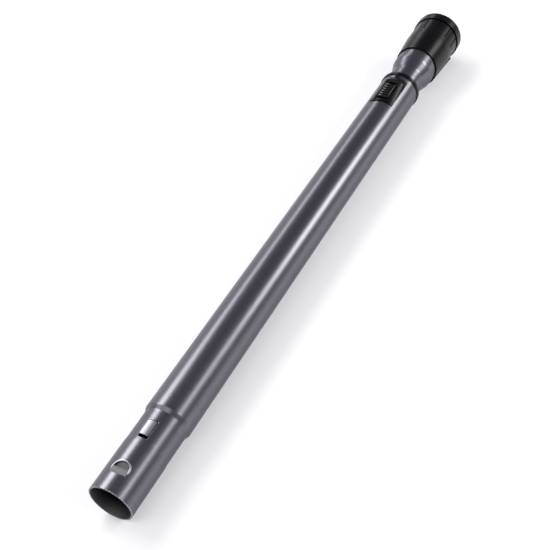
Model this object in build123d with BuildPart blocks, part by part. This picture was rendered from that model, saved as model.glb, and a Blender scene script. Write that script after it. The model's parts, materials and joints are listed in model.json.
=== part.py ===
from build123d import *
import math
import os

# Telescopic suction wand, pushed together. Millimetres.
# The origin is the centre of the spigot's mouth, on the tube axis.
# +Y runs along the wand to the socket, and +Z is the side of the thumb slider.

# Clearances
RUNNING_GAP = 0.06      # radial, tubes guided by rings
MOVING_GAP = 0.3        # beside a piece that slides or rocks
FITTED_GAP = 0.05       # between fixed pieces with curved faces
CAM_GAP = 0.1           # between a cam and what rides on it
PIN_GAP = 0.05          # round a pin that a lever turns on
PRESSED_GAP = 0.01      # round a pin in its seat

# Outer tube with its spigot
WALL = 0.8
SPIGOT_R = 17.5
SPIGOT_LAND = 43.0      # gauged length that enters the mating neck
SPIGOT_RELIEF = 0.25
SPIGOT_LENGTH = 70.6
STEP_LENGTH = 4.4
STEP_ROUND = 2.2
OUTER_R = 18.8
RIM_ROUND = 0.3

# Pressed pocket that a mating tooth drops into
POCKET_START = 14.0
STRAP_LENGTH = 5.0
STRAP_Z = 16.25
POCKET_ARCH = 5.0
POCKET_HALF_WIDTH = 5.9
POCKET_DEEP_Z = 14.0    # floor behind the strap
POCKET_RISE = 2.0       # from there to the top of the arch
POCKET_ROUND = 0.55
SEAM_ANGLE = 67.5       # degrees from the pocket to the tube's drawn seam

# Window and the sprung catch inside the spigot
WINDOW_LEAD = 2.6       # from the gauged land to the window
WINDOW_LENGTH = 15.8
WINDOW_WIDTH = 7.9
PAD_NEAR_GAP = 2.1
PAD_FAR_GAP = 0.9
PAD_PROUD = 0.65
PAD_CORNER = 0.5
CATCH_TRAVEL = 1.2
BAND_THICKNESS = 0.5
BAND_REACH = 100.0      # degrees each side of the pad

# Inner tube
INNER_R = 16.6
TRAVEL = 350.0
STOP_MARGIN = 8.0       # from the pulled-out bush to the lock's cheeks
NECK_SHOWN = 21.6       # from the outer tube's mouth to the flare
FLARE_LENGTH = 12.0
FLARE_R = 20.0
FLARE_NECK_ROUND = 4.0
FLARE_CUP_ROUND = 30.0
CUP_LENGTH = 24.4       # straight end of the flare

# Guide channel and the detents in its floor
CHANNEL_HALF_WIDTH = 3.5
CHANNEL_FLOOR_Z = 15.4
CHANNEL_LEAD = 3.0      # from the bush to the channel
CHANNEL_TAIL = 2.0      # past the outer tube's mouth
DETENT_PITCH = 32.0
DETENT_R = 1.7
DETENT_DEPTH = 1.0

# Bush on the inner tube's hidden end, with its felt seal
BUSH_LEAD = 9.0         # from the step to the bush
BUSH_LENGTH = 20.0
BUSH_LIP = 2.0
SEAL_OFFSET = 7.0
SEAL_LENGTH = 6.0
SEAL_GROOVE_R = 17.2
PEG_R = 1.5

# Guide ring in the outer tube's mouth
RING_LIP_R = 19.55
RING_LIP_LENGTH = 4.0
RING_SKIRT = 10.0
RING_ROUND = 0.8
KEY_WIDTH = 4.8
KEY_LENGTH = 5.0
KEY_PROUD = 0.3
KEY_HEAD_WIDTH = 8.0
KEY_HEAD_LENGTH = 2.5
KEY_HEAD_Z = 18.3
WIPER_LENGTH = 2.4
WIPER_DEPTH = 0.75

# Thumb slider's housing
HOUSING_LENGTH = 39.0
HOUSING_SETBACK = 5.5   # from its far end to the outer tube's mouth
CREST_SETBACK = 6.5     # from its highest rim to its far end
HOUSING_HALF_ANGLE = 37.0
HOUSING_EDGE = 0.35     # height of its side edges over the tube
HOUSING_NEAR_Z = 19.75
HOUSING_CREST_Z = 22.1
HOUSING_FAR_Z = 19.3
CREST_ROUND = 1.5
HOUSING_ROUND = 0.3
RECESS_LEAD = 2.2       # from the housing's near end
RECESS_SETBACK = 1.9    # from the crest
RECESS_HALF_WIDTH = 6.2
RECESS_SLOPE = 34.0     # degrees the recess walls lean outward

# Carrier under the housing
CARRIER_INSET = 1.5     # from the housing's near end
CARRIER_TAIL = 6.0      # from the housing's far end
CARRIER_TOP_Z = 19.35
CARRIER_HALF_WIDTH = 6.9
SLOT_HALF_WIDTH = 4.8
SLOT_MARGIN = 1.0
CHEEK_THICKNESS = 1.7
CHEEK_BOTTOM_Z = 16.5
CHEEK_BRIDGE = 3.6      # solid web between the cheeks at the near end

# Thumb button
BUTTON_TRAVEL = 5.5
BUTTON_LEAD = 2.6       # from the recess's near end
BUTTON_LENGTH = 20.0
BUTTON_WIDTH = 10.5
BUTTON_NEAR_Z = 20.7
BUTTON_FAR_Z = 21.3
BUTTON_ROUND = 0.5
RIB_COUNT = 6
RIB_HEIGHT = 0.45
RIB_WIDTH = 1.3
FOOT_LENGTH = 5.0

# Lock pawl that the button lifts
PAWL_LEAD = 10.7        # from the button's near end to the pawl's pin
PAWL_Z = 17.4
PAWL_HALF_WIDTH = 2.5
PAWL_HALF_DEPTH = 1.0
PAWL_SWING = 0.11       # radians over the button's whole travel
PAWL_REACH = 2.6        # from the pin to the foot's leading edge
TOOTH_ARM = 8.0
TOOTH_WIDTH = 2.0
TOOTH_Z = 15.62
TOOTH_FLARE = 0.5
CAM_STEPS = 6
CAM_RUN_IN = 1.0
PIN_R = 0.6
LEAF_THICKNESS = 0.3
LEAF_HALF_WIDTH = 2.1

# Socket at the far end
SOCKET_R = 17.6
SOCKET_RELIEF = 0.3
SOCKET_LAND = 13.0
SOCKET_DEPTH = 34.0
AIRWAY_R = 16.4
LINER_LEAD = 7.4        # from the flare to the liner
LINER_R = 20.0
LINER_TUCK = 4.0        # into the end ring
FLANGE_R = 20.9
FLANGE_LENGTH = 1.5
END_GAP = 0.7           # from the sleeve to the end ring
END_RING_LENGTH = 10.0
END_RING_R = 24.2
END_RING_ROUND = 1.3
HUB_LENGTH = 3.0
HUB_R = 21.1
MOUTH_CHAMFER = 0.9
SOCKET_SEAL = 1.0

# Release sleeve round the socket
SLEEVE_LEAD = 12.4      # from the flare to the sleeve
SLEEVE_LENGTH = 51.3
SLEEVE_NEAR_R = 21.3
SLEEVE_BORE_R = 21.5
SLEEVE_R = 23.2
SLEEVE_SWELL = 26.0     # length over which the sleeve grows to its full radius
SWELL_BULGE = 0.08      # how far the swell is fuller than a straight line
SLEEVE_TRAVEL = 4.2
SLEEVE_ROUND = 0.7
SADDLE_LENGTH = 39.0
SADDLE_DROP = 24.45     # height of the wand's axis over the saddle's foot
SADDLE_HALF_ANGLE = 65.0
SADDLE_NEAR_R = 21.9
SADDLE_FAR_R = 24.3
SADDLE_FOOT = 7.0       # half width of the flat under the saddle
SADDLE_FLAT = 3.0       # twice the depth of the flat under the saddle's round form
GRIP_COUNT = 12
GRIP_WIDTH = 1.3
GRIP_DEPTH = 0.6
GRIP_LENGTH = 17.0
SPRING_SPACE = 13.7
SPRING_WIRE_R = 0.5
SPRING_TURNS = 4.5
SPRING_FACETS = 24      # flats round one turn
WIRE_SIDES = 6
SHOULDER_LENGTH = 1.6

# Latch inside the release sleeve
LATCH_ARM = 8.0
LATCH_Z = 18.9
LATCH_HALF_WIDTH = 2.5
LATCH_TOOTH_Z = 16.65
LATCH_TOOTH_WIDTH = 4.0
LATCH_BOTTOM_Z = 17.9
LATCH_TOP_Z = 19.8
LATCH_SWING = 0.15      # radians over the sleeve's whole travel
LATCH_REACH = 3.1       # from the pin to the sleeve rib's leading edge
LATCH_NOSE = 0.7
LATCH_NOSE_DROP = 0.8
LATCH_RIB_LENGTH = 4.6
LATCH_PIN_SEAT = 1.5

# Places along the wand, worked out from the mouth of the spigot
STEP_END = SPIGOT_LENGTH + STEP_LENGTH
WINDOW_START = SPIGOT_LAND + WINDOW_LEAD
PAD_START = WINDOW_START + PAD_NEAR_GAP
PAD_LENGTH = WINDOW_LENGTH - PAD_NEAR_GAP - PAD_FAR_GAP
BUSH_START = STEP_END + BUSH_LEAD
BUSH_END = BUSH_START + BUSH_LENGTH
INNER_START = BUSH_START + BUSH_LIP
CHANNEL_START = BUSH_END + CHANNEL_LEAD
SLOT_START = BUSH_END + TRAVEL + STOP_MARGIN
CARRIER_START = SLOT_START - SLOT_MARGIN
HOUSING_START = CARRIER_START - CARRIER_INSET
HOUSING_END = HOUSING_START + HOUSING_LENGTH
CREST_Y = HOUSING_END - CREST_SETBACK
CARRIER_END = HOUSING_END - CARRIER_TAIL
SLOT_END = CARRIER_END - SLOT_MARGIN
RECESS_START = HOUSING_START + RECESS_LEAD
RECESS_END = CREST_Y - RECESS_SETBACK
BUTTON_START = RECESS_START + BUTTON_LEAD
PAWL_Y = BUTTON_START + PAWL_LEAD
OUTER_LENGTH = HOUSING_END + HOUSING_SETBACK
CHANNEL_END = OUTER_LENGTH + CHANNEL_TAIL
RING_START = OUTER_LENGTH - RING_SKIRT
RING_END = OUTER_LENGTH + RING_LIP_LENGTH
KEY_START = OUTER_LENGTH - KEY_LENGTH
NECK_END = OUTER_LENGTH + NECK_SHOWN
FLARE_END = NECK_END + FLARE_LENGTH
INNER_END = FLARE_END + CUP_LENGTH
LINER_START = FLARE_END + LINER_LEAD
SLEEVE_START = FLARE_END + SLEEVE_LEAD
SLEEVE_END = SLEEVE_START + SLEEVE_LENGTH
END_RING_START = SLEEVE_END + END_GAP
LINER_END = END_RING_START + LINER_TUCK
SOCKET_MOUTH = END_RING_START + END_RING_LENGTH
SOCKET_STOP = SOCKET_MOUTH - SOCKET_DEPTH
SADDLE_END = SLEEVE_START + SADDLE_LENGTH
SHOULDER_START = INNER_END + FLANGE_LENGTH + SPRING_SPACE
LATCH_TOOTH_Y = SOCKET_STOP + POCKET_START + STRAP_LENGTH / 2
LATCH_Y = LATCH_TOOTH_Y - LATCH_ARM
LATCH_TAIL_Y = LATCH_Y - LATCH_REACH - SLEEVE_TRAVEL
LATCH_TIP_Y = LATCH_TOOTH_Y + LATCH_TOOTH_WIDTH / 2 + LATCH_NOSE

# Radii, heights and widths worked out from the sizes above
OUTER_BORE_R = OUTER_R - WALL
SPIGOT_REAR_R = SPIGOT_R - SPIGOT_RELIEF
SPIGOT_BORE_R = SPIGOT_REAR_R - WALL
BAND_R = SPIGOT_BORE_R - MOVING_GAP - CATCH_TRAVEL * math.sin(math.radians(BAND_REACH - 90))
PAD_WIDTH = WINDOW_WIDTH - 2 * MOVING_GAP
PAD_Z = SPIGOT_R + PAD_PROUD
INNER_BORE_R = INNER_R - WALL
FLARE_BORE_R = FLARE_R - WALL
RING_BORE_R = INNER_R + RUNNING_GAP
SKIRT_R = OUTER_BORE_R - FITTED_GAP / 2
CHEEK_INSIDE = PAWL_HALF_WIDTH + MOVING_GAP
CHEEK_OUTSIDE = CHEEK_INSIDE + CHEEK_THICKNESS
BUTTON_BOTTOM_Z = CARRIER_TOP_Z + MOVING_GAP
PAWL_TOP_Z = PAWL_Z + PAWL_HALF_DEPTH
FOOT_Z = PAWL_TOP_Z + MOVING_GAP - FITTED_GAP
RELIEVED_R = SOCKET_R + SOCKET_RELIEF
RIB_Z = LATCH_TOP_Z + MOVING_GAP
BEYOND = 1.0            # how far a cutting form reaches past what it cuts
REST_SLOPE = math.degrees(
    math.atan2(SADDLE_DROP - OUTER_R, SADDLE_END - STEP_END)
)

os.makedirs("parts", exist_ok=True)


def save(piece, name):
    """Labels a finished piece and writes it under its own name."""
    piece.label = name
    export_step(piece, f"parts/{name}.step")


def section_plane(y):
    """A plane across the wand: its x is the wand's X and its y is the wand's Z."""
    return Plane(origin=(0, y, 0), x_dir=(1, 0, 0), z_dir=(0, -1, 0))


def round_bar(radius, start, end):
    """A solid round bar on the tube axis."""
    with BuildPart() as bar:
        with BuildSketch(section_plane(start)):
            Circle(radius)
        extrude(amount=-(end - start))
    return bar.part


def ring_bar(outer, inner, start, end):
    """A plain ring on the tube axis."""
    with BuildPart() as bar:
        with BuildSketch(section_plane(start)):
            Circle(outer)
            Circle(inner, mode=Mode.SUBTRACT)
        extrude(amount=-(end - start))
    return bar.part


def block(half_width, start, end, low, high):
    """A block centred on x = 0, between two places along the wand and two heights."""
    with BuildPart() as made:
        with BuildSketch(Plane.XY.offset(low)):
            with Locations((0, (start + end) / 2)):
                Rectangle(2 * half_width, end - start)
        extrude(amount=high - low)
    return made.part


def side_profile(points, half_width):
    """A plate with this outline of (y, z) points, centred on x = 0."""
    with BuildPart() as made:
        with BuildSketch(Plane.YZ):
            with BuildLine():
                Polyline(*points, close=True)
            make_face()
        extrude(amount=half_width, both=True)
    return made.part


def cross_pin(radius, half_length, y, z):
    """A round pin across the wand."""
    with BuildPart() as made:
        with BuildSketch(Plane.YZ):
            with Locations((y, z)):
                Circle(radius)
        extrude(amount=half_length, both=True)
    return made.part


def peg_pair(radius, y, low, high):
    """Two round pegs, one on each side of the wand, between two distances from the axis."""
    with BuildPart() as made:
        with BuildSketch(Plane.YZ.offset(low)):
            with Locations((y, 0)):
                Circle(radius)
        extrude(amount=high - low)
        mirror(about=Plane.YZ)
    return made.part


def turned(points):
    """A body of revolution on the tube axis from (place along the wand, radius) points."""
    with BuildPart() as made:
        with BuildSketch(Plane.YZ):
            with BuildLine():
                Polyline(*points, close=True)
            make_face()
        revolve(axis=Axis.Y)
    return made.part


def without(piece, *cutters):
    """The piece with the cutters' shapes taken out of it."""
    with BuildPart() as made:
        add(piece)
        for cutter in cutters:
            add(cutter, mode=Mode.SUBTRACT)
    return made.part


def pocket_form(grown):
    """The pressed pocket's hollow: a flat strap, and a D-shaped well whose floor rises to its arch."""
    strap_end = POCKET_START + STRAP_LENGTH
    well_start = strap_end - grown
    well_end = strap_end + POCKET_ARCH + grown
    well_half = POCKET_HALF_WIDTH + grown
    floor_z = POCKET_DEEP_Z - grown
    strap = block(SPIGOT_R, POCKET_START - grown, strap_end + grown, STRAP_Z - grown, 2 * SPIGOT_R)
    slope = side_profile(
        [
            (well_start, floor_z),
            (well_end, floor_z + POCKET_RISE),
            (well_end, 2 * SPIGOT_R),
            (well_start, 2 * SPIGOT_R),
        ],
        well_half,
    )
    with BuildPart() as well:
        with BuildSketch(Plane.XY):
            with BuildLine():
                Line((-well_half, well_start), (well_half, well_start))
                ThreePointArc((well_half, well_start), (0, well_end), (-well_half, well_start))
            make_face()
        extrude(amount=2 * SPIGOT_R)
        add(slope, mode=Mode.INTERSECT)
    with BuildPart() as form:
        add(strap)
        add(well.part)
    return form.part


def make_outer_tube():
    """Drawn steel tube, reduced at one end to the spigot."""
    with BuildPart() as tube:
        with BuildSketch(Plane.YZ):
            with BuildLine():
                Polyline(
                    (0, SPIGOT_BORE_R),
                    (0, SPIGOT_R),
                    (SPIGOT_LAND, SPIGOT_R),
                    (WINDOW_START, SPIGOT_REAR_R),
                    (SPIGOT_LENGTH, SPIGOT_REAR_R),
                    (STEP_END - WALL, OUTER_R),
                    (OUTER_LENGTH, OUTER_R),
                    (OUTER_LENGTH, OUTER_BORE_R),
                    (STEP_END, OUTER_BORE_R),
                    (SPIGOT_LENGTH + WALL, SPIGOT_BORE_R),
                    close=True,
                )
            face = make_face()
            bends = [v for v in face.vertices() if SPIGOT_LENGTH - 1 < v.X < STEP_END + 1]
            fillet(bends, STEP_ROUND)
        revolve(axis=Axis.Y)
        rim = tube.edges().filter_by(GeomType.CIRCLE).filter_by(
            lambda e: abs(e.center().Y) < RIM_ROUND and e.radius > SPIGOT_R - RIM_ROUND
        )
        fillet(rim, RIM_ROUND)
    pocket_end = POCKET_START + STRAP_LENGTH + POCKET_ARCH
    skin = round_bar(SPIGOT_R - WALL / 2, POCKET_START - WALL, pocket_end + WALL)
    pressed = pocket_form(WALL) & skin
    pocket = pocket_form(0)
    window = block(WINDOW_WIDTH / 2, WINDOW_START, WINDOW_START + WINDOW_LENGTH, 0, OUTER_R)
    slot = block(SLOT_HALF_WIDTH, SLOT_START, SLOT_END, 0, OUTER_R + BEYOND)
    notch_half = KEY_WIDTH / 2 + FITTED_GAP
    notch = block(notch_half, KEY_START, OUTER_LENGTH + BEYOND, 0, OUTER_R + BEYOND)
    head_half = KEY_HEAD_WIDTH / 2 + FITTED_GAP
    head_start = KEY_START - KEY_HEAD_LENGTH - FITTED_GAP
    head_notch = block(head_half, head_start, KEY_START + FITTED_GAP, 0, OUTER_R + BEYOND)
    with BuildPart() as finished:
        add(tube.part.rotate(Axis.Y, SEAM_ANGLE))
        add(pressed)
        add(pocket, mode=Mode.SUBTRACT)
        front = finished.edges().filter_by(
            lambda e: abs(e.center().Y - POCKET_START) < FITTED_GAP and e.center().Z >= STRAP_Z
        )
        fillet(front, POCKET_ROUND)
        add(window, mode=Mode.SUBTRACT)
        add(slot, mode=Mode.SUBTRACT)
        add(notch, mode=Mode.SUBTRACT)
        add(head_notch, mode=Mode.SUBTRACT)
    return finished.part


def make_catch_ring():
    """Spring band inside the spigot, folded up into the pad that fills the window."""
    pad_end = PAD_START + PAD_LENGTH
    reach = math.radians(BAND_REACH)
    inner_r = BAND_R - BAND_THICKNESS
    with BuildPart() as band:
        with BuildSketch(section_plane(PAD_START)):
            with BuildLine():
                ends = [
                    (math.sin(a) * r, math.cos(a) * r)
                    for r in (BAND_R, inner_r)
                    for a in (-reach, reach)
                ]
                ThreePointArc(ends[0], (0, BAND_R), ends[1])
                Line(ends[1], ends[3])
                ThreePointArc(ends[3], (0, inner_r), ends[2])
                Line(ends[2], ends[0])
            make_face()
        extrude(amount=-PAD_LENGTH)
    crown = round_bar(PAD_Z, PAD_START, pad_end)
    blank = block(PAD_WIDTH / 2, PAD_START, pad_end, inner_r, OUTER_R + BEYOND)
    with BuildPart() as pad:
        add(blank)
        fillet(pad.edges().filter_by(Axis.Z), PAD_CORNER)
        add(crown, mode=Mode.INTERSECT)
        crest = pad.faces().filter_by(GeomType.CYLINDER).sort_by(SortBy.AREA)[-1]
        fillet(crest.edges(), BAND_THICKNESS / 2)
    inside_half = PAD_WIDTH / 2 - BAND_THICKNESS
    under_crown = round_bar(PAD_Z - BAND_THICKNESS, PAD_START - BEYOND, pad_end + BEYOND)
    inside = block(inside_half, PAD_START - BEYOND, pad_end + BEYOND, 0, PAD_Z) & under_crown
    with BuildPart() as finished:
        add(band.part)
        add(pad.part)
        add(inside, mode=Mode.SUBTRACT)
    return finished.part


def make_guide_ring():
    """Moulded ring in the tube's mouth: lip outside, skirt inside, a hooked key and a guide rib."""
    sunk_r = SKIRT_R - WALL / 2
    lip_middle = RING_END - RING_LIP_LENGTH / 2
    key = block(KEY_WIDTH / 2, KEY_START, lip_middle, sunk_r, OUTER_R + KEY_PROUD)
    head = block(KEY_HEAD_WIDTH / 2, KEY_START - KEY_HEAD_LENGTH, KEY_START, sunk_r, KEY_HEAD_Z)
    rib_half = CHANNEL_HALF_WIDTH - MOVING_GAP
    rib_blank = block(rib_half, RING_START, RING_END, CHANNEL_FLOOR_Z + MOVING_GAP, sunk_r)
    rib = rib_blank & round_bar(sunk_r, RING_START, OUTER_LENGTH)
    with BuildPart() as ring:
        with BuildSketch(Plane.XY):
            with BuildLine():
                Polyline(
                    (RING_BORE_R, RING_START),
                    (SKIRT_R, RING_START),
                    (SKIRT_R, OUTER_LENGTH),
                    (RING_LIP_R, OUTER_LENGTH),
                    (RING_LIP_R, RING_END),
                    (RING_BORE_R, RING_END),
                    close=True,
                )
            face = make_face()
            corner = face.vertices().sort_by(lambda v: v.X + v.Y)[-1]
            fillet(corner, RING_ROUND)
        revolve(axis=Axis.Y)
        with BuildSketch(Plane.XY):
            with Locations((RING_BORE_R, lip_middle)):
                Rectangle(2 * WIPER_DEPTH, WIPER_LENGTH)
        revolve(axis=Axis.Y, mode=Mode.SUBTRACT)
        add(key)
        add(head)
        add(rib)
    return ring.part


def make_wiper_ring():
    """Felt ring that wipes the inner tube."""
    middle = RING_END - RING_LIP_LENGTH / 2
    half = WIPER_LENGTH / 2 - FITTED_GAP
    outer = RING_BORE_R + WIPER_DEPTH - FITTED_GAP
    return ring_bar(outer, INNER_R + 2 * RUNNING_GAP, middle - half, middle + half)


def dome_section(y, top_z):
    """One cross-section of the housing's outside, as a face on a plane across the wand."""
    edge_r = OUTER_R + HOUSING_EDGE
    angle = math.radians(HOUSING_HALF_ANGLE)
    edge_x = edge_r * math.sin(angle)
    edge_z = edge_r * math.cos(angle)
    low_z = edge_z - 2 * WALL
    with BuildSketch(section_plane(y)) as section:
        with BuildLine():
            ThreePointArc((-edge_x, edge_z), (0, top_z), (edge_x, edge_z))
            Polyline((edge_x, edge_z), (edge_x, low_z), (-edge_x, low_z), (-edge_x, edge_z))
        make_face()
    return section.sketch


def make_recess():
    """The space in the housing for the button: straight below, leaning outward above."""
    rise = HOUSING_CREST_Z + BEYOND - CARRIER_TOP_Z
    lean = math.tan(math.radians(RECESS_SLOPE)) * rise
    middle = (RECESS_START + RECESS_END) / 2
    length = RECESS_END - RECESS_START
    with BuildPart() as recess:
        with BuildSketch(Plane.XY.offset(CARRIER_TOP_Z)):
            with Locations((0, middle)):
                Rectangle(2 * RECESS_HALF_WIDTH, length)
        with BuildSketch(Plane.XY.offset(CARRIER_TOP_Z + rise)):
            with Locations((0, middle)):
                Rectangle(2 * (RECESS_HALF_WIDTH + lean), length + 2 * lean)
        loft(ruled=True)
        with BuildSketch(Plane.XY.offset(CARRIER_TOP_Z)):
            with Locations((0, middle)):
                Rectangle(2 * RECESS_HALF_WIDTH, length)
        extrude(amount=-2 * WALL)
    return recess.part


def make_slider_housing():
    """Wedge-shaped cover over the lock, open in the middle for the thumb button."""
    near = dome_section(HOUSING_START, HOUSING_NEAR_Z)
    crest = dome_section(CREST_Y, HOUSING_CREST_Z)
    far = dome_section(HOUSING_END, HOUSING_FAR_Z)
    with BuildPart() as wedge:
        add(near)
        add(crest)
        loft(ruled=True)
    with BuildPart() as tail:
        add(crest)
        add(far)
        loft(ruled=True)
    tube = round_bar(OUTER_R + FITTED_GAP, HOUSING_START - BEYOND, HOUSING_END + BEYOND)
    seat = block(
        CARRIER_HALF_WIDTH + FITTED_GAP,
        CARRIER_START - FITTED_GAP,
        CARRIER_END + FITTED_GAP,
        0,
        CARRIER_TOP_Z + FITTED_GAP,
    )
    key_room = block(
        KEY_WIDTH / 2 + FITTED_GAP,
        KEY_START - FITTED_GAP,
        HOUSING_END + BEYOND,
        0,
        OUTER_R + KEY_PROUD + FITTED_GAP,
    )
    recess = make_recess()
    with BuildPart() as cover:
        add(wedge.part)
        add(tail.part)
        arcs = cover.edges().filter_by(GeomType.CIRCLE).sort_by(Axis.Y)
        fillet(arcs[1], CREST_ROUND)
        arcs = cover.edges().filter_by(GeomType.CIRCLE).sort_by(Axis.Y)
        fillet(arcs[-1], HOUSING_ROUND)
        add(tube, mode=Mode.SUBTRACT)
        add(seat, mode=Mode.SUBTRACT)
        add(recess, mode=Mode.SUBTRACT)
        add(key_room, mode=Mode.SUBTRACT)
    return cover.part


def make_lock_carrier():
    """Moulded floor of the recess, with two cheeks that reach through the tube's slot."""
    plate = block(CARRIER_HALF_WIDTH, CARRIER_START, CARRIER_END, CHEEK_BOTTOM_Z, CARRIER_TOP_Z)
    tube = round_bar(OUTER_R + FITTED_GAP, CARRIER_START - BEYOND, CARRIER_END + BEYOND)
    cheeks = block(
        CHEEK_OUTSIDE,
        SLOT_START + FITTED_GAP,
        SLOT_END - FITTED_GAP,
        CHEEK_BOTTOM_Z,
        CARRIER_TOP_Z,
    )
    gap = block(
        CHEEK_INSIDE,
        SLOT_START + CHEEK_BRIDGE,
        SLOT_END - CHEEK_BRIDGE / 2,
        0,
        CARRIER_TOP_Z + BEYOND,
    )
    pin_hole = cross_pin(PIN_R, CHEEK_OUTSIDE + BEYOND, PAWL_Y, PAWL_Z)
    leaf_z = PAWL_TOP_Z + FITTED_GAP
    leaf_slit = block(
        LEAF_HALF_WIDTH,
        SLOT_START + CHEEK_BRIDGE / 2,
        SLOT_START + CHEEK_BRIDGE + BEYOND,
        leaf_z,
        leaf_z + LEAF_THICKNESS,
    )
    with BuildPart() as carrier:
        add(plate)
        add(tube, mode=Mode.SUBTRACT)
        add(cheeks)
        add(gap, mode=Mode.SUBTRACT)
        add(pin_hole, mode=Mode.SUBTRACT)
        add(leaf_slit, mode=Mode.SUBTRACT)
    return carrier.part


def cam_points(pin_y, face_z, reach, travel, swing, side):
    """Points of a cam's top: what slides over it by travel, at height face_z, turns it by swing.

    side is 1 where it slides towards +Y, and -1 where it slides towards -Y.
    """
    points = []
    for i in range(CAM_STEPS + 1):
        share = i / CAM_STEPS
        arm = reach + share * travel
        points.append((pin_y + side * arm, face_z - CAM_GAP + swing * share * arm))
    return points


def make_lock_pawl():
    """Rocking pawl: a tooth over the channel's detents and a cam under the button."""
    low = PAWL_Z - PAWL_HALF_DEPTH
    tooth_near = PAWL_Y - TOOTH_ARM - TOOTH_WIDTH / 2
    tooth_far = tooth_near + TOOTH_WIDTH
    cam = cam_points(PAWL_Y, FOOT_Z, PAWL_REACH, BUTTON_TRAVEL, PAWL_SWING, 1)
    tail_y = cam[-1][0]
    tail_low = low + PAWL_SWING * (tail_y - PAWL_Y) / 2
    outline = [
        (tooth_near, TOOTH_Z),
        (tooth_far, TOOTH_Z),
        (tooth_far + TOOTH_FLARE, low),
        (PAWL_Y + PAWL_REACH, low),
        (tail_y, tail_low),
        *reversed(cam),
        (PAWL_Y + PAWL_REACH - CAM_RUN_IN, PAWL_TOP_Z),
        (tooth_near, PAWL_TOP_Z),
    ]
    hole = cross_pin(PIN_R + PIN_GAP, PAWL_HALF_WIDTH + BEYOND, PAWL_Y, PAWL_Z)
    return without(side_profile(outline, PAWL_HALF_WIDTH), hole)


def make_pawl_spring():
    """Leaf that keeps the pawl's tooth down."""
    low = PAWL_TOP_Z + FITTED_GAP
    start = SLOT_START + CHEEK_BRIDGE / 2
    end = PAWL_Y + PAWL_REACH - FOOT_LENGTH - 2 * MOVING_GAP
    return block(LEAF_HALF_WIDTH, start, end, low, low + LEAF_THICKNESS)


def make_slide_button():
    """Ribbed thumb button with the foot that runs over the pawl's cam."""
    end = BUTTON_START + BUTTON_LENGTH
    pitch = (BUTTON_LENGTH - 2 * RIB_WIDTH) / (RIB_COUNT - 1)
    slope = (BUTTON_FAR_Z - BUTTON_NEAR_Z) / BUTTON_LENGTH
    foot_end = PAWL_Y + PAWL_REACH
    foot_top = BUTTON_NEAR_Z - MOVING_GAP
    foot = block(LEAF_HALF_WIDTH, foot_end - FOOT_LENGTH, foot_end, FOOT_Z, foot_top)
    blank = side_profile(
        [
            (BUTTON_START, BUTTON_BOTTOM_Z),
            (end, BUTTON_BOTTOM_Z),
            (end, BUTTON_FAR_Z),
            (BUTTON_START, BUTTON_NEAR_Z),
        ],
        BUTTON_WIDTH / 2,
    )
    with BuildPart() as cap:
        add(blank)
        fillet(cap.edges().filter_by(Axis.Z), BUTTON_ROUND)
        fillet(cap.faces().sort_by(Axis.Z)[-1].edges(), BUTTON_ROUND / 2)
        for i in range(RIB_COUNT):
            y = BUTTON_START + RIB_WIDTH + i * pitch
            z = BUTTON_NEAR_Z + slope * (y - BUTTON_START) + RIB_HEIGHT - RIB_WIDTH / 2
            with BuildSketch(Plane.YZ.offset(-BUTTON_WIDTH / 2 + BUTTON_ROUND)):
                with Locations((y, z)):
                    Circle(RIB_WIDTH / 2)
            extrude(amount=BUTTON_WIDTH - 2 * BUTTON_ROUND)
        add(foot)
    return cap.part


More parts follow.
